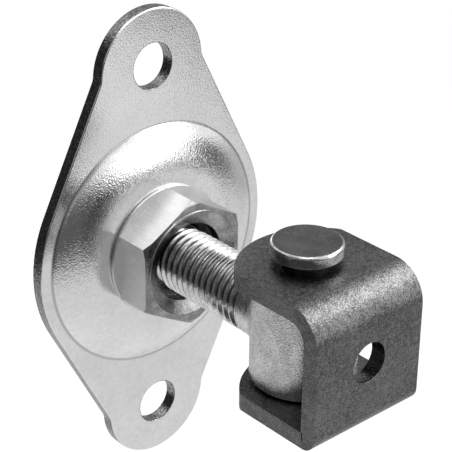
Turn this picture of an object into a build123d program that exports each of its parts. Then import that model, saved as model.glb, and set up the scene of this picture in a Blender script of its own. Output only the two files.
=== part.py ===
"""Adjustable gate hinge: a pressed wall plate with a turning nut, an eye bolt and a U bracket on a pin.

+X runs along the bolt away from the wall, +Z is up, and the origin is the middle of the two fixing
holes in the plane of the wall. Millimetres.
"""

import os
from math import asin, atan2, ceil, cos, degrees, radians, sin, sqrt, tan

from build123d import *

# Wall plate, stamped from sheet
sheet = 4.0
hole_spacing = 115.0
hole_radius = 7.0
lobe_radius = 18.75
lobe_inset = 1.25
lobe_bulge = 1.8
waist_margin = 4.1
corner_fillet = 4.0
sheared_edge = 0.4

# Round boss pressed out of the plate
boss_radius = 38.4
boss_step = 1.2
boss_step_run = 0.8
boss_height = 4.5
land_radius = 24.0
boss_mouth_fillet = 1.5

# Turning nut with its collar, and the spigot that is swaged behind the plate
across_flats = 36.0
hexagon_height = 10.0
corner_margin = 1.3
corner_slope = 30.0
collar_radius = 20.6
collar_height = 3.0
spigot_radius = 13.0
swage_lip = 1.6
swage_height = 1.3
rim_inset = 2.3
rim_width = 0.7
rim_height = 0.3
dish_depth = 1.6
relief_radius = 12.3
relief_depth = 5.0

# Washer under the swaged lip
washer_radius = 18.0
washer_thickness = 1.5

# Eye bolt, with a 60 degree thread rolled on its shank
thread_radius = 9.85
thread_pitch = 2.5
thread_depth = 1.35
thread_end = 3.0
thread_runout = 49.5
shank_step = 0.05
thread_end_chamfer = 1.5
barrel_radius = 15.25
barrel_chamfer = 0.8
neck_fillet = 3.5

# Hinge pin
pin_radius = 7.0
pin_offset = 69.5
pin_head_radius = 10.25
pin_head_height = 3.7
pin_head_chamfer = 0.8
pin_head_stand = 2.2
pin_tip_chamfer = 1.0
pin_tip_recess = 0.5

# U bracket, folded from flat bar whose ends are cut in a wide arc
bar_width = 40.0
bar_thickness = 5.0
bracket_height = 42.0
web_gap = 4.75
upper_bend = 10.5
lower_bend = 4.5
upper_tip = 17.6
lower_tip = 14.9
end_radius = 24.0
end_corner = 2.5
bracket_edge = 0.4
web_hole_radius = 6.0

# Clearances
thread_clearance = 0.1
spigot_clearance = 0.08
spigot_play = 0.1
pin_clearance = 0.08
press_clearance = 0.02
barrel_play = 0.4

shank_radius = thread_radius + shank_step
boss_front = sheet + boss_height
land_back = boss_front - sheet
collar_back = boss_front + spigot_play
hexagon_back = collar_back + collar_height
nut_front = hexagon_back + hexagon_height
washer_front = land_back - spigot_play
washer_back = washer_front - washer_thickness
swage_back = washer_back - swage_height
web_offset = barrel_radius + web_gap + bar_thickness
web_front = pin_offset + web_offset
ear_inside = bracket_height / 2 - bar_thickness
barrel_height = 2 * (ear_inside - barrel_play)


# Back plate: a round waist that follows the boss, two round lobes that bulge a little past the lines of
# the straight flanks, and a small inside corner where a flank runs into a lobe
waist_radius = boss_radius + waist_margin
lobe_offset = hole_spacing / 2 - lobe_inset
lobe_depth = lobe_radius - lobe_bulge
lobe_chord = sqrt(lobe_radius**2 - lobe_depth**2)
flank = asin((waist_radius - lobe_depth) / lobe_offset)
flank_length = lobe_offset * cos(flank) - lobe_chord
flank_foot = Vector(waist_radius * cos(flank), waist_radius * sin(flank))
flank_top = flank_foot + Vector(-sin(flank), cos(flank)) * flank_length
lobe_start = degrees(atan2(flank_top.Y - lobe_offset, flank_top.X))

# The dome of the boss is an arc that runs level into the land
dome_rise = boss_height - boss_step
dome_run = boss_radius - boss_step_run - land_radius
dome_radius = (dome_run**2 + dome_rise**2) / (2 * dome_rise)
dome_angle = degrees(asin(dome_run / dome_radius))
hollow_radius = dome_radius - sheet
hollow_angle = degrees(asin(sqrt(hollow_radius**2 - (dome_radius - boss_front) ** 2) / hollow_radius))

with BuildPart() as back_plate:
    with BuildSketch(Plane.YZ) as plate_outline:
        with BuildLine():
            CenterArc((0, 0), waist_radius, 0, degrees(flank))
            Line(flank_foot, flank_top)
            CenterArc((0, lobe_offset), lobe_radius, lobe_start, 90 - lobe_start)
            mirror(about=Plane.YZ)
            mirror(about=Plane.XZ)
        make_face()
        inside_corners = plate_outline.vertices().group_by(lambda v: round(abs(v.Y), 3))[-2]
        fillet(inside_corners, corner_fillet)
    extrude(amount=sheet)
    chamfer(back_plate.faces().sort_by(Axis.X)[-1].outer_wire().edges(), sheared_edge)
    with BuildSketch(Plane.XY):
        with BuildLine():
            Polyline((0, boss_radius), (0, 0), (boss_front, 0), (boss_front, land_radius))
            CenterArc((boss_front - dome_radius, land_radius), dome_radius, 0, dome_angle)
            Polyline((sheet + boss_step, boss_radius - boss_step_run), (sheet, boss_radius), (0, boss_radius))
        make_face()
    revolve(axis=Axis.X)
    with BuildSketch(Plane.XY):
        with BuildLine():
            dome_back = CenterArc((boss_front - dome_radius, land_radius), hollow_radius, 0, hollow_angle)
            Polyline(dome_back @ 1, (0, 0), (land_back, 0), (land_back, land_radius))
        make_face()
    revolve(axis=Axis.X, mode=Mode.SUBTRACT)
    hollow_mouth = back_plate.faces().sort_by(Axis.X)[0].inner_wires().sort_by(SortBy.LENGTH)[-1]
    fillet(hollow_mouth.edges(), boss_mouth_fillet)
    with BuildSketch(Plane.YZ):
        Circle(spigot_radius + spigot_clearance)
        with GridLocations(0, hole_spacing, 1, 2):
            Circle(hole_radius)
    extrude(amount=boss_front, mode=Mode.SUBTRACT)
back_plate.part.label = "back_plate"


# Adjusting nut: hexagon with turned corners on a round collar, and a spigot through the plate whose
# end is swaged over the washer. The mouth is dished inside a fine raised rim.
corner_radius = across_flats / 2 / cos(radians(30))
corner_circle = across_flats / 2 + corner_margin
rim_radius = corner_circle - rim_inset
corner_drop = (corner_radius - corner_circle) * tan(radians(corner_slope))

with BuildPart() as adjusting_nut:
    with BuildSketch(Plane.YZ.offset(hexagon_back)):
        RegularPolygon(radius=across_flats / 2, side_count=6, major_radius=False, rotation=30)
    extrude(amount=hexagon_height)
    with BuildSketch(Plane.XY):
        with BuildLine():
            Polyline(
                (hexagon_back, 0),
                (nut_front, 0),
                (nut_front, corner_circle),
                (nut_front - corner_drop, corner_radius),
                (hexagon_back, corner_radius),
                close=True,
            )
        make_face()
    revolve(axis=Axis.X, mode=Mode.INTERSECT)
    with BuildSketch(Plane.YZ.offset(collar_back)):
        Circle(collar_radius)
    extrude(amount=collar_height)
    with BuildSketch(Plane.YZ.offset(washer_back)):
        Circle(spigot_radius)
    extrude(amount=collar_back - washer_back)
    with BuildSketch(Plane.YZ.offset(swage_back)):
        Circle(spigot_radius + swage_lip)
    extrude(amount=swage_height)
    with BuildSketch(Plane.YZ.offset(nut_front)):
        Circle(rim_radius)
    extrude(amount=rim_height)
    chamfer(adjusting_nut.faces().sort_by(Axis.X)[-1].edges(), rim_height * 0.8)
    with BuildSketch(Plane.XY):
        with BuildLine():
            Polyline(
                (nut_front + rim_height, 0),
                (nut_front + rim_height, rim_radius - rim_width),
                (nut_front - dish_depth, relief_radius),
                (nut_front - relief_depth, relief_radius),
                (nut_front - relief_depth - relief_radius + shank_radius, shank_radius),
                (nut_front - relief_depth - relief_radius, 0),
                close=True,
            )
        make_face()
    revolve(axis=Axis.X, mode=Mode.SUBTRACT)
    with BuildSketch(Plane.YZ.offset(swage_back)):
        Circle(shank_radius + thread_clearance)
    extrude(amount=nut_front - swage_back, mode=Mode.SUBTRACT)
adjusting_nut.part.label = "adjusting_nut"


# Washer between the plate and the swaged end of the nut
with BuildPart() as swage_washer:
    with BuildSketch(Plane.YZ.offset(washer_back)):
        Circle(washer_radius)
        Circle(spigot_radius + spigot_clearance, mode=Mode.SUBTRACT)
    extrude(amount=washer_thickness)
swage_washer.part.label = "swage_washer"


# Rolled thread: one turn of ruled faces between helices, repeated along the shank and sewn together
thread_root = thread_radius - thread_depth
crest_width = thread_pitch / 8
flank_run = thread_depth * tan(radians(30))
thread_start = thread_end - 2 * thread_pitch
thread_turns = ceil((thread_runout - thread_end) / thread_pitch) + 3
thread_profile = [
    (thread_start, thread_radius),
    (thread_start + crest_width, thread_radius),
    (thread_start + crest_width + flank_run, thread_root),
    (thread_start + thread_pitch - flank_run, thread_root),
    (thread_start + thread_pitch, thread_radius),
]
helices = [Helix(thread_pitch, thread_pitch, r, (x, 0, 0), (1, 0, 0)).edge() for x, r in thread_profile]
one_turn = [Face.make_surface_from_curves(near, far) for near, far in zip(helices, helices[1:])]
turn_places = [Location((turn * thread_pitch, 0, 0)) for turn in range(thread_turns)]
thread_faces = [face.moved(place) for place in turn_places for face in one_turn]
foot = Vector(thread_start, 0, 0)
foot_end = Vector(thread_start + thread_pitch, 0, 0)
foot_ramp = Face.make_surface_from_curves(Edge.make_line(foot, foot_end), helices[0])
foot_step = Face(Wire.make_polygon([foot] + [helix @ 0 for helix in helices] + [foot_end]))
far_foot = Location((thread_turns * thread_pitch, 0, 0))
thread_feet = [foot_ramp, foot_step, foot_ramp.moved(far_foot), foot_step.moved(far_foot)]

# Eye bolt: upright barrel forged on the end of the shank, with a rounded neck. The thread ends square at
# the plain part of the shank and chamfered behind the plate.
with BuildPart() as eye_bolt:
    add(Solid(Shell(thread_faces + thread_feet)))
    with BuildSketch(Plane.XY):
        with BuildLine():
            Polyline(
                (thread_end, 0),
                (thread_end, shank_radius - thread_end_chamfer),
                (thread_end + thread_end_chamfer, shank_radius),
                (thread_runout, shank_radius),
                (thread_runout, 0),
                close=True,
            )
        make_face()
    revolve(axis=Axis.X, mode=Mode.INTERSECT)
    with BuildSketch(Plane.YZ.offset(thread_runout)):
        Circle(shank_radius)
    extrude(amount=pin_offset - thread_runout)
    with BuildSketch(Plane.XY.offset(-barrel_height / 2)):
        with Locations((pin_offset, 0)):
            Circle(barrel_radius)
    extrude(amount=barrel_height)
    curved_edges = eye_bolt.edges().filter_by(lambda e: e.geom_type not in (GeomType.LINE, GeomType.CIRCLE))
    fillet(curved_edges.sort_by(Axis.X)[-1], neck_fillet)
    barrel_ends = eye_bolt.faces().filter_by(Axis.Z).edges().filter_by(GeomType.CIRCLE)
    chamfer(barrel_ends, barrel_chamfer)
    with Locations((pin_offset, 0, 0)):
        Hole(pin_radius + pin_clearance, depth=barrel_height)
eye_bolt.part.label = "eye_bolt"


# Bracket: flat bar folded into a U, with one hole in its web. The wider upper bend leaves the upper ear
# a little longer than the lower one.
with BuildPart() as bracket:
    with BuildSketch(Plane.XZ) as bracket_side:
        with BuildLine():
            outside = FilletPolyline(
                (pin_offset - upper_tip, bracket_height / 2),
                (web_front, bracket_height / 2),
                (web_front, -bracket_height / 2),
                (pin_offset - lower_tip, -bracket_height / 2),
                radius=[upper_bend, lower_bend],
            )
            offset(outside, amount=bar_thickness, side=Side.RIGHT, kind=Kind.INTERSECTION)
        make_face()
    extrude(amount=bar_width / 2, both=True)
    for ear_back, ear_tip in ((0, upper_tip), (-bracket_height / 2, lower_tip)):
        with BuildSketch(Plane.XY.offset(ear_back)):
            with Locations((pin_offset - ear_tip, 0)):
                Rectangle(end_radius, bar_width, align=(Align.MIN, Align.CENTER))
            with Locations((pin_offset - ear_tip + end_radius, 0)):
                Circle(end_radius, mode=Mode.SUBTRACT)
        extrude(amount=bracket_height / 2, mode=Mode.SUBTRACT)
    ear_corners = bracket.edges().filter_by(Axis.Z).filter_by(lambda e: e.center().X < pin_offset)
    fillet(ear_corners, end_corner)
    ear_ends = bracket.faces().filter_by(GeomType.CYLINDER).filter_by(lambda f: f.center().X < pin_offset)
    bar_sides = bracket.faces().filter_by(Axis.Y) + ear_ends
    ear_uprights = ear_ends.edges().filter_by(Axis.Z)
    chamfer(bar_sides.edges() - ear_uprights, bracket_edge)
    with BuildSketch(Plane.XY.offset(-bracket_height / 2)):
        with Locations((pin_offset, 0)):
            Circle(pin_radius + press_clearance)
    extrude(amount=bracket_height, mode=Mode.SUBTRACT)
    with BuildSketch(Plane.YZ.offset(web_front - bar_thickness)):
        Circle(web_hole_radius)
    extrude(amount=bar_thickness, mode=Mode.SUBTRACT)
bracket.part.label = "bracket"


# Hinge pin: pressed through both ears, its flat head standing a little off the upper one
pin_tip = -bracket_height / 2 + pin_tip_recess
head_under = bracket_height / 2 + pin_head_stand

with BuildPart() as hinge_pin:
    with BuildSketch(Plane.XY.offset(pin_tip)):
        with Locations((pin_offset, 0)):
            Circle(pin_radius)
    extrude(amount=head_under - pin_tip)
    chamfer(hinge_pin.faces().sort_by(Axis.Z)[0].edges(), pin_tip_chamfer)
    with BuildSketch(Plane.XY.offset(head_under)):
        with Locations((pin_offset, 0)):
            Circle(pin_head_radius)
    extrude(amount=pin_head_height)
    chamfer(hinge_pin.faces().sort_by(Axis.Z)[-1].edges(), pin_head_chamfer)
hinge_pin.part.label = "hinge_pin"


os.makedirs("parts", exist_ok=True)
export_step(back_plate.part, "parts/back_plate.step")
export_step(adjusting_nut.part, "parts/adjusting_nut.step")
export_step(swage_washer.part, "parts/swage_washer.step")
export_step(eye_bolt.part, "parts/eye_bolt.step")
export_step(bracket.part, "parts/bracket.step")
export_step(hinge_pin.part, "parts/hinge_pin.step")
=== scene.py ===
"""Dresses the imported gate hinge: camera, studio, and a finished piece for each of its parts.

Metres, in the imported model's frame. +X runs along the bolt away from the wall, +Z is up, and the
origin is the middle of the two fixing holes in the plane of the wall.
"""

from math import acos, asin, atan2, cos, hypot, pi, radians, sin, sqrt, tan

import bmesh
import bpy
from mathutils import Matrix, Vector


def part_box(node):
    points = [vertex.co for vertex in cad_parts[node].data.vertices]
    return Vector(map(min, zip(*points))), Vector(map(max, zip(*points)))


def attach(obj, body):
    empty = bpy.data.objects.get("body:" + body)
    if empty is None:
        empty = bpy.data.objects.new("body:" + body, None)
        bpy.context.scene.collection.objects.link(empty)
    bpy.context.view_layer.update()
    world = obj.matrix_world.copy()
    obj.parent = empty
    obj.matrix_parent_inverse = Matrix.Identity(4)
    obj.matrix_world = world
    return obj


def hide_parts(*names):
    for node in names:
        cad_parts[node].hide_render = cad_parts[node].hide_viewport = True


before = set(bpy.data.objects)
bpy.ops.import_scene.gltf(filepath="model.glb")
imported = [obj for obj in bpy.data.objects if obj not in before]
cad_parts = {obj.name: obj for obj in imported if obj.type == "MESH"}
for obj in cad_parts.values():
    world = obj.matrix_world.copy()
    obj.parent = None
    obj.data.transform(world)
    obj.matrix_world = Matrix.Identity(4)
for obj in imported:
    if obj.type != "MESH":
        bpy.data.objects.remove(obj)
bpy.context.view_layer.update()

MM = 0.001


# Camera: the photograph is taken from the front left and from above, through a long lens, and its
# horizon leans by half a degree.
lens_place = Vector((0.3343, -0.2646, 0.2225))
lens_turn = radians(48.39)
lens_tilt = radians(27.13)
lens_roll = radians(0.52)
lens_length = 124.7

camera = bpy.data.objects.new("camera", bpy.data.cameras.new("camera"))
camera.data.lens = lens_length
camera.data.clip_start = 0.01
camera.matrix_world = (
    Matrix.Translation(lens_place)
    @ Matrix.Rotation(lens_turn, 4, "Z")
    @ Matrix.Rotation(pi / 2 - lens_tilt, 4, "X")
    @ Matrix.Rotation(lens_roll, 4, "Z")
)
bpy.context.scene.collection.objects.link(camera)
bpy.context.scene.camera = camera
bpy.context.scene.view_settings.view_transform = "Standard"


# Studio: a pale floor well below the part, screens round it that only its metal mirrors, and two soft
# lamps, one high at the back right and one overhead. Metal sees the floor darker close by than far off.
floor_height = -0.85
floor_half = 4.0
near_floor = 1.8
far_floor = 2.6
screen_distance = 2.0
lamp_distance = 1.0
world_light = 0.5


class Wire:
    """One output of a material's node, so that shader maths can be written with wires and numbers."""

    def __init__(self, tree, socket=None):
        self.tree = tree
        self.socket = socket

    def node(self, kind, settings=None, inputs=None, output=0):
        """Adds a node, sets it up, feeds its sockets by name or number and returns one of its outputs."""
        made = self.tree.nodes.new(kind)
        for name, value in (settings or {}).items():
            setattr(made, name, value)
        for key, value in (inputs or {}).items():
            if isinstance(value, Wire):
                self.tree.links.new(value.socket, made.inputs[key])
            else:
                made.inputs[key].default_value = value
        return Wire(self.tree, made.outputs[output])

    def maths(self, operation, first, second):
        return self.node("ShaderNodeMath", {"operation": operation}, {0: first, 1: second})

    def __add__(self, other):
        return self.maths("ADD", self, other)

    __radd__ = __add__

    def __sub__(self, other):
        return self.maths("SUBTRACT", self, other)

    def __rsub__(self, other):
        return self.maths("SUBTRACT", other, self)

    def __mul__(self, other):
        return self.maths("MULTIPLY", self, other)

    __rmul__ = __mul__

    def ray(self, kind):
        """1 for rays of this kind and 0 for others."""
        return self.node("ShaderNodeLightPath", output="Is " + kind + " Ray")

    def mirrored(self):
        """1 for what metal or glass shows of this surface."""
        return self.maths("MAXIMUM", self.ray("Glossy"), self.ray("Transmission"))

    def away(self, axes=(1, 1, 1)):
        """The distance from the origin on the piece's own coordinates, measured along these axes."""
        place = self.node("ShaderNodeTexCoord", output="Object")
        across = self.node("ShaderNodeVectorMath", {"operation": "MULTIPLY"}, {0: place, 1: axes})
        return self.node("ShaderNodeVectorMath", {"operation": "LENGTH"}, {0: across}, "Value")

    def ramp(self, low, high):
        """0 below low and 1 above high, with a soft step between them."""
        edges = {"Value": self, "From Min": low, "From Max": high}
        return self.node("ShaderNodeMapRange", {"interpolation_type": "SMOOTHSTEP"}, edges)

    def noise(self, size, detail, stretch=(1, 1, 1)):
        """Cloudy noise on the piece's own coordinates, with blots of about this size."""
        place = self.node("ShaderNodeTexCoord", output="Object")
        scale = tuple(1 / (size * s) for s in stretch)
        place = self.node("ShaderNodeMapping", {}, {"Vector": place, "Scale": scale})
        return self.node("ShaderNodeTexNoise", {}, {"Vector": place, "Scale": 1.0, "Detail": detail})

    def tint(self, dark, light):
        """A colour between two others, dark where this wire is 0 and light where it is 1."""
        colours = {0: self, 6: (*dark, 1), 7: (*light, 1)}
        return self.node("ShaderNodeMix", {"data_type": "RGBA"}, colours, 2)

    def bump(self, height, below=None):
        """The surface normal over this relief, height in metres, laid over another relief's normal."""
        inputs = {"Height": self, "Distance": height}
        if below:
            inputs["Normal"] = below
        return self.node("ShaderNodeBump", {}, inputs)


def glowing(name, grey, camera_glow, metal_glow, far_glow=None):
    """A matt grey with one glow to the camera and one to metal, which may turn into far_glow far off."""
    finish = bpy.data.materials.new(name)
    finish.use_nodes = True
    shader = finish.node_tree.nodes["Principled BSDF"]
    shader.inputs["Base Color"].default_value = (grey, grey, grey, 1)
    shader.inputs["Roughness"].default_value = 1.0
    shader.inputs["Specular IOR Level"].default_value = 0.0
    shader.inputs["Emission Color"].default_value = (1, 1, 1, 1)
    wire = Wire(finish.node_tree)
    if far_glow:
        metal_glow = metal_glow + (far_glow - metal_glow) * wire.away().ramp(near_floor, far_floor)
    glow = wire.ray("Camera") * camera_glow + wire.mirrored() * metal_glow
    finish.node_tree.links.new(glow.socket, shader.inputs["Emission Strength"])
    return finish


def stage_piece(name, shape, finish):
    """Stands a shape in the studio, as no part of the object."""
    mesh = bpy.data.meshes.new(name)
    shape.to_mesh(mesh)
    mesh.materials.append(finish)
    thing = bpy.data.objects.new(name, mesh)
    bpy.context.scene.collection.objects.link(thing)
    return thing


def screen(name, glow, rail):
    """A screen round the part, unseen by the camera, through (turn from +X, lowest, highest) in degrees."""
    shape = bmesh.new()
    before = None
    for turn, lowest, highest in rail:
        pair = [
            shape.verts.new((cos(radians(turn)), sin(radians(turn)), tan(radians(height))))
            for height in (lowest, highest)]
        if before:
            shape.faces.new(before + pair[::-1])
        before = pair
    bmesh.ops.scale(shape, verts=shape.verts, vec=(screen_distance,) * 3)
    thing = stage_piece(name, shape, glowing(name, 0.02, camera_glow=0.0, metal_glow=glow))
    thing.visible_camera = False
    thing.visible_shadow = False
    thing.visible_diffuse = False


def soft_lamp(name, turn, height, width, tall, glow):
    """An oblong lamp at this turn from +X and height over the horizon, facing the part."""
    lamp = bpy.data.lights.new(name, "AREA")
    lamp.shape = "RECTANGLE"
    lamp.size = width
    lamp.size_y = tall
    lamp.energy = glow * pi * width * tall
    stand = bpy.data.objects.new(name, lamp)
    stand.matrix_world = (
        Matrix.Rotation(radians(turn + 90), 4, "Z")
        @ Matrix.Rotation(radians(90 - height), 4, "X")
        @ Matrix.Translation((0, 0, lamp_distance))
    )
    bpy.context.scene.collection.objects.link(stand)


shape = bmesh.new()
floor_place = Matrix.Translation((0, 0, floor_height))
bmesh.ops.create_grid(shape, x_segments=1, y_segments=1, size=floor_half, matrix=floor_place)
stage_piece("floor", shape, glowing("pale_floor", 0.8, camera_glow=0.6, metal_glow=0.28, far_glow=0.58))

# most screens reach down to where the floor takes over, at this height in degrees
foot = -23
screen("bright_panel", 2.0, (
    (11, 8, 24), (17, 2, 24), (21, -4, 24), (27, -11, 24),
    (42, -9, 24), (45, 0, 24), (49, 6, 24), (55, 10, 24)))
screen("dark_front", 0.1, (
    (-20, foot, 14), (0, foot, 13), (11, foot, 8), (17, -22, 2),
    (21, -19, -4), (27, -16, -11), (42, -16, -9)))
screen("dark_right", 0.12, (
    (42, -21, -10), (45, -21, 0), (49, -20, 5), (58, -18, 5), (66, -16, 0), (70, -14, -4)))
screen("grey_right", 0.5, ((66, foot, -16), (70, foot, -4), (82, foot, 0), (100, foot, 6)))
screen("grey_back", 0.42, ((98, foot, 20), (112, foot, 38), (165, foot, 38), (178, foot, 14)))
screen("dark_left", 0.05, (
    (176, foot, 12), (200, foot, 20), (212, foot, 44), (245, foot, 44), (268, foot, 12), (310, foot, 10)))
screen("dark_room", 0.32, ((247, 44, 62), (268, 14, 66), (300, 11, 66), (330, 11, 60), (352, 13, 40)))
screen("dark_corner", 0.1, ((310, foot, 10), (340, foot, 14)))

soft_lamp("back_lamp", turn=64, height=40, width=0.80, tall=0.45, glow=4.6)
soft_lamp("top_lamp", turn=-33, height=70, width=0.40, tall=0.40, glow=3.0)

world = bpy.data.worlds.new("studio")
bpy.context.scene.world = world
world.use_nodes = True
wire = Wire(world.node_tree)
seen = wire.maths("MAXIMUM", wire.ray("Camera"), wire.mirrored())
backdrop = world.node_tree.nodes["Background"]
backdrop.inputs["Color"].default_value = (1, 1, 1, 1)
world.node_tree.links.new((seen * (1 - world_light) + world_light).socket, backdrop.inputs["Strength"])


# Wall plate: bright zinc over pressed 4 mm sheet. Its outline is stamped, its two holes are punched and
# its round boss is pressed out over the hollow that holds the swaged end of the nut.
plate_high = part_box("back_plate")[1]
sheet = 4.0 * MM
waist_radius = plate_high.y
lobe_radius = 18.75 * MM
lobe_offset = plate_high.z - lobe_radius
lobe_bulge = 1.8 * MM
corner_radius = 4.0 * MM
front_rounding = 0.5 * MM
back_rounding = 0.2 * MM
hole_offset = 57.5 * MM
hole_radius = 7.0 * MM
boss_front = plate_high.x
boss_radius = 38.4 * MM
step_height = 0.7 * MM
step_run = 0.6 * MM
land_radius = 24.0 * MM
spigot_hole = 13.08 * MM
sheet_dark = (0.30, 0.30, 0.303)
sheet_light = (0.88, 0.88, 0.885)
sheared_dark = (0.16, 0.16, 0.163)
sheared_light = (0.55, 0.55, 0.55)

# points a speck apart are one, points a hair apart lie in one plane, and a face whose normal has less of
# X in it than steep belongs to an edge
speck = 0.001 * MM
hair = 0.01 * MM
steep = 0.4


def points(parts):
    """The vertices among what an operator returns."""
    return [part for part in parts if isinstance(part, bmesh.types.BMVert)]


def draw_arc(shape, dot, centre, axis, turn, steps):
    """Draws an arc from a vertex round a centre, and returns the vertex at its far end."""
    spun = bmesh.ops.spin(shape, geom=[dot], cent=centre, axis=axis, angle=turn, steps=steps)
    return points(spun["geom_last"])[0]


def rim_at(shape, along, still_open=False):
    """The edges in the plane where X is along, or only those that still lack a face."""
    rim = [e for e in shape.edges if all(abs(v.co.x - along) < hair for v in e.verts)]
    return [e for e in rim if e.is_boundary or not still_open]


def soften(shape, rim, width):
    """Rounds these edges off."""
    bmesh.ops.bevel(
        shape, geom=rim, offset=width, offset_type="OFFSET", affect="EDGES", segments=3, profile=0.5,
        material=-1, clamp_overlap=True)


def arc(middle, radius, turn, steps):
    """Points (along, out) on an arc about a middle, from straight ahead of it to this turn outwards."""
    turns = [turn * k / steps for k in range(steps + 1)]
    return [middle + radius * Vector((cos(a), sin(a))) for a in turns]


def rounded(*corners, steps=4):
    """A line of points (along, out), each corner (along, out, radius) rounded off by its radius."""
    line = []
    for i, (along, out, radius) in enumerate(corners):
        corner = Vector((along, out))
        if not radius:
            line.append(corner)
            continue
        before = (Vector(corners[i - 1][:2]) - corner).normalized()
        after = (Vector(corners[i + 1][:2]) - corner).normalized()
        half = before.angle(after) / 2
        middle = corner + (before + after).normalized() * (radius / sin(half))
        spoke = corner + before * (radius / tan(half)) - middle
        turn = (pi - 2 * half) * (1 if before.cross(after) < 0 else -1)
        line += [middle + Matrix.Rotation(turn * k / steps, 2) @ spoke for k in range(steps + 1)]
    return line


def lathe(shape, line, steps, place=Vector((0, 0, 0)), upright=False):
    """Spins a line of points (along, out) about the X axis through place, or about an upright one there."""
    if upright:
        dots = [shape.verts.new(place + Vector((out, 0, along))) for along, out in line]
    else:
        dots = [shape.verts.new(place + Vector((along, 0, out))) for along, out in line]
    edges = [shape.edges.new(pair) for pair in zip(dots, dots[1:])]
    bmesh.ops.spin(
        shape, geom=dots + edges, cent=place, axis=(0, 0, 1) if upright else (1, 0, 0),
        angle=2 * pi, steps=steps, use_merge=True)


def new_metal(name, paint):
    """A metal's material, with what paint returns in the sockets that vary over it."""
    finish = bpy.data.materials.new(name)
    finish.use_nodes = True
    shader = finish.node_tree.nodes["Principled BSDF"]
    shader.inputs["Metallic"].default_value = 1.0
    for key, value in paint(Wire(finish.node_tree)).items():
        finish.node_tree.links.new(value.socket, shader.inputs[key])
    return finish


def add_piece(shape, name, body, node, slot, *finishes, sharp=35):
    """Closes a shape into a piece that rides on a body and stands for its CAD node."""
    bmesh.ops.remove_doubles(shape, verts=shape.verts, dist=speck)
    bmesh.ops.recalc_face_normals(shape, faces=shape.faces)
    mesh = bpy.data.meshes.new(name)
    shape.to_mesh(mesh)
    mesh.shade_smooth()
    mesh.set_sharp_from_angle(angle=radians(sharp))
    piece = bpy.data.objects.new(name, mesh)
    bpy.context.scene.collection.objects.link(piece)
    piece.modifiers.new("even_shading", "WEIGHTED_NORMAL").keep_sharp = True
    for finish in finishes:
        mesh.materials.append(finish)
    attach(piece, body)
    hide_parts(node)


# the flanks run from the round waist to the lobes, with a small inside corner at each lobe
flank = asin((waist_radius - lobe_radius + lobe_bulge) / lobe_offset)
corner_along = lobe_offset * cos(flank) - sqrt(
    (lobe_radius + corner_radius) ** 2 - (lobe_radius - lobe_bulge + corner_radius) ** 2)
outward = Vector((0, cos(flank), sin(flank)))
upward = Vector((0, -sin(flank), cos(flank)))
corner_centre = outward * (waist_radius + corner_radius) + upward * corner_along
lobe_centre = Vector((0, 0, lobe_offset))
corner_turn = (lobe_centre - corner_centre).angle(-outward)
lobe_turn = (corner_centre - lobe_centre).angle(Vector((0, 0, 1)))

# a quarter of the outline is drawn, mirrored twice and raised to the thickness of the sheet
shape = bmesh.new()
dot = shape.verts.new((0, waist_radius, 0))
dot = draw_arc(shape, dot, (0, 0, 0), (1, 0, 0), flank, steps=12)
dot = bmesh.ops.extrude_vert_indiv(shape, verts=[dot])["verts"][0]
dot.co += upward * corner_along
dot = draw_arc(shape, dot, corner_centre, (1, 0, 0), -corner_turn, steps=6)
draw_arc(shape, dot, lobe_centre, (1, 0, 0), lobe_turn, steps=28)
for axis in ("Y", "Z"):
    bmesh.ops.mirror(shape, geom=shape.verts[:] + shape.edges[:], axis=axis, merge_dist=speck)
bmesh.ops.remove_doubles(shape, verts=shape.verts, dist=hair)
back = bmesh.ops.contextual_create(shape, geom=shape.edges)["faces"]
front = bmesh.ops.extrude_face_region(shape, geom=back, use_keep_orig=True)["geom"]
bmesh.ops.translate(shape, verts=points(front), vec=(sheet, 0, 0))

# the shear leaves a rounded front edge and a sharper back one, and the two flat faces are made again
# once the boss and the holes are in
soften(shape, rim_at(shape, sheet), front_rounding)
soften(shape, rim_at(shape, 0), back_rounding)
bmesh.ops.recalc_face_normals(shape, faces=shape.faces)
for face in shape.faces:
    face.normal_update()
    face.material_index = 1 if abs(face.normal.x) < steep else 0
flat_faces = [f for f in shape.faces if abs(f.normal.x) > 0.999]
bmesh.ops.delete(shape, geom=flat_faces, context="FACES_ONLY")

# the boss is a dome on a low step, and its hollow keeps the sheet's thickness up to a rounded mouth
dome_rise = boss_front - sheet - step_height
dome_run = boss_radius - step_run - land_radius
dome_radius = (dome_run**2 + dome_rise**2) / (2 * dome_rise)
dome_middle = Vector((boss_front - dome_radius, land_radius))
dome = arc(dome_middle, dome_radius, asin(dome_run / dome_radius), 20)
step = rounded(
    (*dome[-2], 0), (*dome[-1], 0.3 * MM), (sheet, boss_radius + 0.3 * MM, 0.5 * MM),
    (sheet, boss_radius + 0.9 * MM, 0))
land = [Vector((boss_front - sheet, spigot_hole)), Vector((boss_front, spigot_hole))]
boss_line = land + dome[:-1] + step[1:]
hollow_radius = dome_radius - sheet
hollow_turn = acos(-dome_middle.x / hollow_radius)
mouth = dome_middle.y + hollow_radius * sin(hollow_turn)
hollow_line = arc(dome_middle, hollow_radius, hollow_turn, 16)[:-2] + rounded(
    (0.6 * MM, mouth - 0.35 * MM, 0), (0.15 * MM, mouth + 0.35 * MM, 0), (0, mouth + 1.5 * MM, 0))
lathe(shape, boss_line[::-1] + hollow_line, steps=144)

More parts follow.
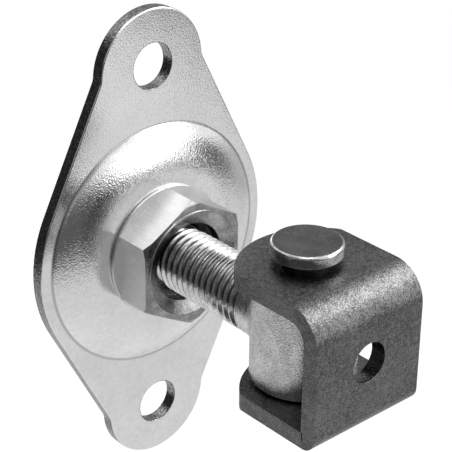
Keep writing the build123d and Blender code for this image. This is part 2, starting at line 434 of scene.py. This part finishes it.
# the punch leaves rounded edges too, and its holes get the finish of the sheared edge
hole_line = rounded(
    (sheet, hole_radius + 0.3 * MM, 0), (sheet, hole_radius, 0.25 * MM), (0, hole_radius, 0.15 * MM),
    (0, hole_radius + 0.2 * MM, 0), steps=3)
before_holes = len(shape.faces)
for side in (1, -1):
    lathe(shape, hole_line, steps=64, place=Vector((0, 0, side * hole_offset)))
shape.faces.ensure_lookup_table()
for face in shape.faces[before_holes:]:
    face.material_index = 1
bmesh.ops.remove_doubles(shape, verts=shape.verts, dist=speck)
for along in (0, sheet):
    bmesh.ops.triangle_fill(shape, edges=rim_at(shape, along, still_open=True), use_beauty=True)


def zinc_sheet(wire):
    """Bright zinc with a fine grain, calmer on the flat sheet, and darker in a ring at the foot of the boss
    as painted shade.
    """
    grain = wire.noise(0.5 * MM, 2.0)
    mottle = wire.noise(1.6 * MM, 3.0)
    cloud = wire.noise(14 * MM, 2.0)
    out = wire.away((0, 1, 1))
    # painted shade: a narrow ring at the foot of the boss is darkened and its grain dropped
    crease_shade = out.ramp(boss_radius - 0.3 * MM, boss_radius + 0.1 * MM) * (
        1 - out.ramp(boss_radius + 0.3 * MM, boss_radius + 1.0 * MM))
    flat = out.ramp(boss_radius - 1 * MM, boss_radius + 1 * MM)
    zinc = (mottle * 0.35 + cloud * 0.3 + grain * 0.35).ramp(0.3, 0.7) * (1 - crease_shade)
    return {
        "Base Color": (0.7 + 0.3 * zinc - 0.4 * crease_shade).tint(sheet_dark, sheet_light),
        "Roughness": 0.1 + 0.06 * mottle.ramp(0.35, 0.7) + 0.02 * flat,
        "Normal": ((grain * 0.75 + mottle * 0.25) * (1 - 0.55 * flat)).bump(0.11 * MM),
    }


def sheared_edge(wire):
    """Torn and duller metal where the sheet was cut."""
    tears = wire.noise(0.6 * MM, 3.0)
    return {
        "Base Color": tears.ramp(0.4, 0.75).tint(sheared_dark, sheared_light),
        "Roughness": 0.14 + 0.16 * tears,
        "Normal": tears.bump(0.12 * MM),
    }


plate_finish = new_metal("bright_zinc_sheet", zinc_sheet)
edge_finish = new_metal("sheared_zinc_edge", sheared_edge)
add_piece(shape, "pressed_plate", "wall_plate", "back_plate", "zinc_sheet", plate_finish, edge_finish)


# Adjusting nut: bright zinc over a hexagon nut with turned corners, a thin round collar, and a spigot
# swaged behind the plate. Its mouth is dished inside a fine raised rim.
nut_low, nut_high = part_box("adjusting_nut")
nut_height = 13.0 * MM
collar_height = 1.0 * MM
collar_radius = 20.6 * MM
collar_rounding = 0.25 * MM
spigot_radius = 13.0 * MM
swage_radius = 14.6 * MM
swage_rounding = 0.4 * MM
swage_front = 2.9 * MM
rim_height = 0.3 * MM
rim_radius = 17.0 * MM
relief_radius = 12.3 * MM
bore_radius = 10.0 * MM
dish_depth = 1.6 * MM
relief_depth = 5.0 * MM
throat_depth = 7.3 * MM
corner_reach = nut_high.z
corner_circle = 19.3 * MM
corner_slope = tan(radians(30))
corner_softness = 0.2 * MM
face_inset = 0.35 * MM
half_flats = corner_reach * cos(pi / 6)
columns = 180
nut_dark = (0.62, 0.62, 0.625)
nut_light = (0.78, 0.78, 0.785)
turned_dark = (0.20, 0.20, 0.203)
turned_light = (0.44, 0.44, 0.44)

nut_front = nut_high.x - rim_height
collar_back = nut_front - nut_height
hexagon_back = collar_back + collar_height
corner_front = nut_front - (corner_reach - corner_circle) * corner_slope

shape = bmesh.new()
swage_line = rounded(
    (nut_low.x, bore_radius, 0), (nut_low.x, swage_radius, swage_rounding),
    (swage_front, swage_radius, 0), steps=3)
collar_line = rounded(
    (swage_front, spigot_radius, 0), (collar_back, spigot_radius, 0),
    (collar_back, collar_radius, collar_rounding), (hexagon_back, collar_radius, collar_rounding),
    (hexagon_back, collar_radius - 0.3 * MM, 0), steps=3)
hexagon_line = rounded(
    (hexagon_back, corner_reach, 0), (hexagon_back + corner_softness, corner_reach, 0),
    (corner_front - corner_softness, corner_reach, 0), (corner_front, corner_reach, 0),
    (corner_front + 0.5 * corner_softness, corner_reach - corner_softness, 0),
    (nut_front, corner_circle, 0))
mouth_line = rounded(
    (nut_front, corner_circle - 0.6 * MM, 0), (nut_front, rim_radius, 0.1 * MM),
    (nut_high.x, rim_radius - 0.15 * MM, 0.1 * MM), (nut_high.x, rim_radius - 0.7 * MM, 0.2 * MM),
    (nut_front - dish_depth, relief_radius, 0.35 * MM),
    (nut_front - relief_depth, relief_radius, 0.3 * MM), (nut_front - throat_depth, bore_radius, 0),
    (nut_low.x, bore_radius, 0), steps=3)
lathe(shape, swage_line + collar_line + hexagon_line + mouth_line, steps=columns)


def from_corner(turn):
    """The turn from the nearest corner of the hexagon, which stands on a corner."""
    return (turn + pi / 6) % (pi / 3) - pi / 6


def flat_reach(turn):
    """How far out the hexagon's flat lies at this turn."""
    return half_flats / cos(pi / 6 - abs(from_corner(turn)))


# the turned blank is cut to the hexagon: each point beyond the corner circle moves in to its flat, the
# two columns beside a corner close up to it, and the front face stays inside the flats
column = 2 * pi / columns
for dot in shape.verts:
    turn = atan2(dot.co.y, dot.co.z)
    out = hypot(dot.co.y, dot.co.z)
    on_collar = dot.co.x < hexagon_back + hair and out < corner_reach - hair
    if dot.co.x > hexagon_back and rim_radius + 0.2 * MM < out < corner_circle - hair:
        cut = min(out, flat_reach(turn) - face_inset)
        dot.co.y *= cut / out
        dot.co.z *= cut / out
    elif out >= corner_circle - hair and not on_collar:
        if abs(abs(from_corner(turn)) - column) < column / 4:
            turn += (1 if from_corner(turn) < 0 else -1) * 0.65 * column
        cut = flat_reach(turn)
        if cut > corner_circle:
            share = (out - corner_circle) / (corner_reach - corner_circle)
            cut = corner_circle + share * (cut - corner_circle)
        chamfer = nut_front - max(0, cut - corner_circle) * corner_slope
        if dot.co.x > corner_front - 0.9 * corner_softness:
            dot.co.x = chamfer
        elif dot.co.x > hexagon_back + 2 * corner_softness:
            dot.co.x = chamfer - corner_softness
        dot.co.y = cut * sin(turn)
        dot.co.z = cut * cos(turn)
bmesh.ops.remove_doubles(shape, verts=shape.verts, dist=2 * speck)

# the front face, the dish and the bore are freshly turned
bmesh.ops.recalc_face_normals(shape, faces=shape.faces)
for face in shape.faces:
    face.normal_update()
    middle = face.calc_center_median()
    inside = hypot(middle.y, middle.z) < rim_radius - 0.3 * MM
    turned = middle.x > hexagon_back + 1 * MM and (face.normal.x > steep or inside)
    face.material_index = 1 if turned else 0


def zinc_nut(wire):
    """Bright zinc with faint strokes along the nut."""
    grain = wire.noise(0.4 * MM, 3.0)
    strokes = wire.noise(0.45 * MM, 2.0, stretch=(14, 1, 1))
    cloud = wire.noise(5 * MM, 2.0)
    zinc = (strokes * 0.6 + cloud * 0.4).ramp(0.2, 0.8)
    return {
        "Base Color": zinc.tint(nut_dark, nut_light),
        "Roughness": 0.24 + 0.08 * grain + 0.05 * cloud,
        "Normal": strokes.bump(0.05 * MM, below=grain.bump(0.05 * MM)),
    }


def turned_nut_face(wire):
    """Darker metal where the nut was turned."""
    grain = wire.noise(0.5 * MM, 3.0)
    cloud = wire.noise(4 * MM, 3.0)
    zinc = (grain * 0.4 + cloud * 0.6).ramp(0.35, 0.7)
    return {
        "Base Color": zinc.tint(turned_dark, turned_light),
        "Roughness": 0.14 + 0.12 * cloud,
        "Normal": grain.bump(0.06 * MM),
    }


nut_finish = new_metal("bright_zinc_nut", zinc_nut)
nut_face_finish = new_metal("turned_zinc_face", turned_nut_face)
add_piece(
    shape, "turned_nut", "adjuster", "adjusting_nut", "zinc_nut", nut_finish, nut_face_finish, sharp=25)


# Washer: plain zinc plated steel. It sits on the nut's spigot and is held against the back of the plate
# by the spigot's swaged end.
washer_low, washer_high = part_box("swage_washer")
washer_rounding = 0.3 * MM

shape = bmesh.new()
washer_line = rounded(
    (washer_low.x, spigot_hole, 0), (washer_low.x, washer_high.y, washer_rounding),
    (washer_high.x, washer_high.y, washer_rounding), (washer_high.x, spigot_hole, 0),
    (washer_low.x, spigot_hole, 0))
lathe(shape, washer_line, steps=96)
washer_finish = new_metal("plain_zinc_washer", zinc_nut)
add_piece(shape, "back_washer", "adjuster", "swage_washer", "zinc_washer", washer_finish)


# Eye bolt: satin zinc over a forging, with a barrel for the pin and a flared neck. The coarse thread is
# rolled on the shank and runs out just before the neck.
bolt_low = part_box("eye_bolt")[0]
shank_radius = 9.9 * MM
end_chamfer = 1.5 * MM
pitch = 2.5 * MM
crest = 9.85 * MM
thread_depth = 1.35 * MM
root = crest - thread_depth
half_crest = 0.16 * MM
crest_rounding = 0.12 * MM
root_width = 0.6 * MM
root_rounding = 0.2 * MM
runout_start = 50.4 * MM
neck_start = 52.0 * MM
# the dark end is the painted shade at the roots of the thread
bolt_dark = (0.08, 0.08, 0.08)
bolt_light = (0.90, 0.90, 0.90)


def with_rims(faces):
    """These faces with their edges and vertices, each of them once."""
    edges = dict.fromkeys(e for f in faces for e in f.edges)
    return [*faces, *edges, *dict.fromkeys(v for f in faces for v in f.verts)]


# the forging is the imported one, cut off where the thread has run out
shape = bmesh.new()
shape.from_mesh(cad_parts["eye_bolt"].data)
bmesh.ops.remove_doubles(shape, verts=shape.verts, dist=speck)
bmesh.ops.bisect_plane(
    shape, geom=shape.verts[:] + shape.edges[:] + shape.faces[:], plane_co=(neck_start, 0, 0),
    plane_no=(1, 0, 0), clear_inner=True)
forged = set(shape.faces)

# one turn of crest and groove is swept along the helix, then repeated along the shank
turns = int((neck_start - bolt_low.x) / pitch) + 3
start = bolt_low.x - 2 * pitch + pitch / 16
steps = 72
groove = rounded(
    (0, crest, 0), (half_crest, crest, crest_rounding), ((pitch - root_width) / 2, root, root_rounding),
    ((pitch + root_width) / 2, root, root_rounding), (pitch - half_crest, crest, crest_rounding),
    (pitch, crest, 0), steps=2)
dots = [shape.verts.new((start + along, 0, out)) for along, out in groove]
edges = [shape.edges.new(pair) for pair in zip(dots, dots[1:])]
bmesh.ops.spin(
    shape, geom=dots + edges, cent=(0, 0, 0), axis=(1, 0, 0), dvec=(pitch / steps, 0, 0), angle=2 * pi,
    steps=steps)
one_turn = with_rims([f for f in shape.faces if f not in forged])
for turn in range(1, turns):
    copied = bmesh.ops.duplicate(shape, geom=one_turn)["geom"]
    bmesh.ops.translate(shape, verts=points(copied), vec=(turn * pitch, 0, 0))
bmesh.ops.remove_doubles(shape, verts=shape.verts, dist=5 * speck)

# both ends are cut square, the grooves fade before the neck and the free end gets its chamfer
for plane, inner in ((bolt_low.x, True), (neck_start, False)):
    rolled = with_rims([f for f in shape.faces if f not in forged])
    bmesh.ops.bisect_plane(
        shape, geom=rolled, plane_co=(plane, 0, 0), plane_no=(1, 0, 0), clear_inner=inner,
        clear_outer=not inner)
for dot in shape.verts:
    out = hypot(dot.co.y, dot.co.z)
    if dot.co.x > neck_start + hair or out > crest + 2 * hair:
        continue
    fade = min(max((dot.co.x - runout_start) / (neck_start - runout_start), 0), 1)
    cut = out + (crest - out) * fade
    cut = min(cut, shank_radius - end_chamfer + dot.co.x - bolt_low.x)
    dot.co.y *= cut / out
    dot.co.z *= cut / out
bmesh.ops.edgeloop_fill(shape, edges=rim_at(shape, bolt_low.x, still_open=True))
bmesh.ops.triangle_fill(shape, edges=rim_at(shape, neck_start, still_open=True), use_beauty=True)


def zinc_bolt(wire):
    """Satin zinc, grainy on the forging, with a painted highlight on the thread's crests and painted shade
    in its grooves.
    """
    grain = wire.noise(0.45 * MM, 3.0)
    cloud = wire.noise(5 * MM, 2.0)
    place = wire.node("ShaderNodeTexCoord", output="Object")
    forging = wire.node("ShaderNodeSeparateXYZ", {}, {0: place}, "X").ramp(49 * MM, 54 * MM)
    # painted shade and highlight: the thread is darkest at its roots and lightest towards its crests
    thread_light_and_shade = wire.away((0, 1, 1)).ramp(root, root + 0.5 * thread_depth)
    zinc = (grain * 0.6 + cloud * 0.4).ramp(0.3, 0.7)
    forging_and_thread_light = wire.maths("MAXIMUM", thread_light_and_shade, forging)
    return {
        "Base Color": (forging_and_thread_light * (0.45 + 0.55 * zinc)).tint(bolt_dark, bolt_light),
        "Roughness": 0.12 + 0.06 * grain + 0.12 * forging,
        "Normal": (grain * (0.2 + 0.8 * forging)).bump(0.13 * MM),
    }


bolt_finish = new_metal("satin_zinc_bolt", zinc_bolt)
add_piece(shape, "threaded_eye", "eye", "eye_bolt", "zinc_bolt", bolt_finish)


# Bracket: raw hot rolled flat bar. Its ends are cut in a wide arc, its three holes are punched, and then
# it is folded into a U, the upper fold wider than the lower one.
bracket_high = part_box("bracket")[1]
pin_low, pin_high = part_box("hinge_pin")
bar = 5.0 * MM
half_width = bracket_high.y
pin_x = (pin_low.x + pin_high.x) / 2
web_x = bracket_high.x
top_z = bracket_high.z
upper_bend = 10.5 * MM
lower_bend = 4.5 * MM
upper_tip = 17.6 * MM
lower_tip = 14.9 * MM
end_radius = 24.0 * MM
end_corner = 2.5 * MM
web_hole = 6.0 * MM
pin_hole = 7.02 * MM
hole_rounding = 0.2 * MM
bar_rounding = 0.4 * MM
steel_dark = (0.065, 0.065, 0.067)
steel_light = (0.21, 0.21, 0.21)

# lengths along the outside of the bar, from the tip of the upper ear to the tip of the lower one
upper_flat = web_x - pin_x + upper_tip - upper_bend
upper_end = upper_flat + upper_bend * pi / 2
web_end = upper_end + 2 * top_z - upper_bend - lower_bend
lower_end = web_end + lower_bend * pi / 2
blank_end = lower_end + web_x - pin_x + lower_tip - lower_bend


def fold(length, depth):
    """Where a point of the flat blank lies in the folded bracket: X and Z."""
    if length < upper_flat:
        return pin_x - upper_tip + length, top_z - depth
    if length < upper_end:
        turn = (length - upper_flat) / upper_bend
        reach = upper_bend - depth
        return web_x - upper_bend + reach * sin(turn), top_z - upper_bend + reach * cos(turn)
    if length < web_end:
        return web_x - depth, top_z - upper_bend - (length - upper_end)
    if length < lower_end:
        turn = (length - web_end) / lower_bend
        reach = lower_bend - depth
        x = web_x - lower_bend + reach * cos(turn)
        z = -top_z + lower_bend - reach * sin(turn)
        return min(x, web_x - depth) if reach < 0 else x, max(z, -top_z + depth) if reach < 0 else z
    return web_x - lower_bend - (length - lower_end), -top_z + depth


# the blank's sides are laid out in stations, close together where it bends, and its ends are arcs with
# a small corner at each side
ear_turn = asin((half_width - end_corner) / (end_radius - end_corner))
ear_start = end_radius - (end_radius - end_corner) * cos(ear_turn)
stations = [ear_start, upper_flat]
stations += [upper_flat + (upper_end - upper_flat) * k / 16 for k in range(1, 17)]
stations += [web_end] + [web_end + (lower_end - web_end) * k / 12 for k in range(1, 13)]
stations += [blank_end - ear_start]
inner_stations = stations[1:-1]

shape = bmesh.new()
rungs = [[shape.verts.new((length, side * half_width, 0)) for side in (-1, 1)] for length in stations]
for (a, b), (c, d) in zip(rungs, rungs[1:]):
    shape.edges.new((a, c))
    shape.edges.new((b, d))
ear_side = half_width - end_corner
for dot, tip, way in ((rungs[0][0], 0, 1), (rungs[-1][0], blank_end, -1)):
    for along, out, turn, steps in (
        (ear_start, -ear_side, pi / 2 - ear_turn, 6),
        (end_radius, 0, 2 * ear_turn, 40),
        (ear_start, ear_side, pi / 2 - ear_turn, 6),
    ):
        dot = draw_arc(shape, dot, (tip + way * along, out, 0), (0, 0, 1), -way * turn, steps)
bmesh.ops.remove_doubles(shape, verts=shape.verts, dist=speck)
holes = (
    (upper_tip, pin_hole), (upper_end + top_z - upper_bend, web_hole), (blank_end - lower_tip, pin_hole))
for length, radius in holes:
    bmesh.ops.create_circle(shape, segments=64, radius=radius, matrix=Matrix.Translation((length, 0, 0)))

# the outline is filled between one station and the next, each strip of a bend with one face, and the
# flat stretches, which are wider, round their holes
bend_strip = 2.0 * MM
beyond = 1.0
sides = [v for v in shape.verts if abs(abs(v.co.y) - half_width) < speck]
for length in inner_stations:
    shape.edges.new([v for v in sides if abs(v.co.x - length) < speck])
for first, last in zip([-beyond] + inner_stations, inner_stations + [beyond]):
    rim = [e for e in shape.edges if all(first - speck < v.co.x < last + speck for v in e.verts)]
    if last - first < bend_strip:
        bmesh.ops.contextual_create(shape, geom=rim)
    else:
        bmesh.ops.triangle_fill(shape, edges=rim, use_beauty=True)
inside = bmesh.ops.extrude_face_region(shape, geom=shape.faces[:], use_keep_orig=True)["geom"]
bmesh.ops.translate(shape, verts=points(inside), vec=(0, 0, bar))
bmesh.ops.recalc_face_normals(shape, faces=shape.faces)


def at_hole(edge):
    """Whether an edge of the blank is the rim of a hole."""
    place = edge.verts[0].co
    return any(hypot(place.x - x, place.y) < r + 0.3 * MM for x, r in holes)


# cut edges are softened, those of the holes less, and then the bar is folded
for width, holed in ((hole_rounding, True), (bar_rounding, False)):
    corners = [e for e in shape.edges if len(e.link_faces) == 2 and e.calc_face_angle() > radians(60)]
    soften(shape, [e for e in corners if at_hole(e) == holed], width)
for dot in shape.verts:
    dot.co.x, dot.co.z = fold(dot.co.x, dot.co.z)


def raw_steel(wire):
    """Dark mill scale with a fine light grain."""
    grain = wire.noise(0.4 * MM, 3.0)
    mottle = wire.noise(1.6 * MM, 3.0)
    cloud = wire.noise(12 * MM, 2.0)
    scale = (grain * 0.6 + mottle * 0.25 + cloud * 0.15).ramp(0.38, 0.62)
    return {
        "Base Color": scale.tint(steel_dark, steel_light),
        "Roughness": 0.2 + 0.12 * mottle,
        "Normal": (grain * 0.8 + mottle * 0.2).bump(0.13 * MM),
    }


steel_finish = new_metal("raw_rolled_steel", raw_steel)
add_piece(shape, "folded_bracket", "gate_bracket", "bracket", "raw_steel", steel_finish)


# Hinge pin: turned steel, pressed through both ears from above. Its flat head has a turned edge, lightened
# further as a painted highlight, and its lower end a chamfer.
pin_radius = 7.0 * MM
pin_chamfer = 1.0 * MM
pin_rounding = 0.2 * MM
head_radius = pin_high.y
head_height = 3.7 * MM
head_rounding = 1.0 * MM
under_rounding = 0.5 * MM
edge_band = 0.85 * MM
head_under = pin_high.z - head_height
head_dark = (0.09, 0.09, 0.092)
head_light = (0.19, 0.19, 0.19)
edge_dark = (0.42, 0.42, 0.42)
edge_light = (0.7, 0.7, 0.7)

shape = bmesh.new()
pin_line = rounded(
    (pin_low.z, 0, 0), (pin_low.z, pin_radius - pin_chamfer, pin_rounding),
    (pin_low.z + pin_chamfer, pin_radius, pin_rounding), (head_under, pin_radius, 0),
    (head_under, head_radius, under_rounding), (pin_high.z, head_radius, head_rounding),
    (pin_high.z, 0, 0), steps=6)
lathe(shape, pin_line, steps=96, place=Vector((pin_x, 0, 0)), upright=True)
for face in shape.faces:
    middle = face.calc_center_median()
    out = hypot(middle.x - pin_x, middle.y)
    # the head's edge takes the lighter finish: turned metal, lightened further as a painted highlight
    bright = out > head_radius - edge_band and middle.z > head_under + 0.1 * MM
    face.material_index = 1 if bright else 0


def turned_steel(wire):
    """The dull dark steel of the pin."""
    grain = wire.noise(0.5 * MM, 3.0)
    cloud = wire.noise(5 * MM, 2.0)
    return {
        "Base Color": (grain * 0.6 + cloud * 0.4).ramp(0.3, 0.7).tint(head_dark, head_light),
        "Roughness": 0.34 + 0.12 * cloud,
        "Normal": grain.bump(0.08 * MM),
    }


def lathe_edge_and_highlight(wire):
    """The lathe-bright edge round the head, lightened further as a painted highlight."""
    grain = wire.noise(0.5 * MM, 3.0)
    return {
        "Base Color": grain.ramp(0.3, 0.7).tint(edge_dark, edge_light),
        "Roughness": 0.16 + 0.08 * grain,
        "Normal": grain.bump(0.03 * MM),
    }


pin_finish = new_metal("dark_turned_steel", turned_steel)
pin_edge_finish = new_metal("lathe_edge_and_painted_highlight", lathe_edge_and_highlight)
add_piece(shape, "headed_pin", "gate_bracket", "hinge_pin", "pin_steel", pin_finish, pin_edge_finish)
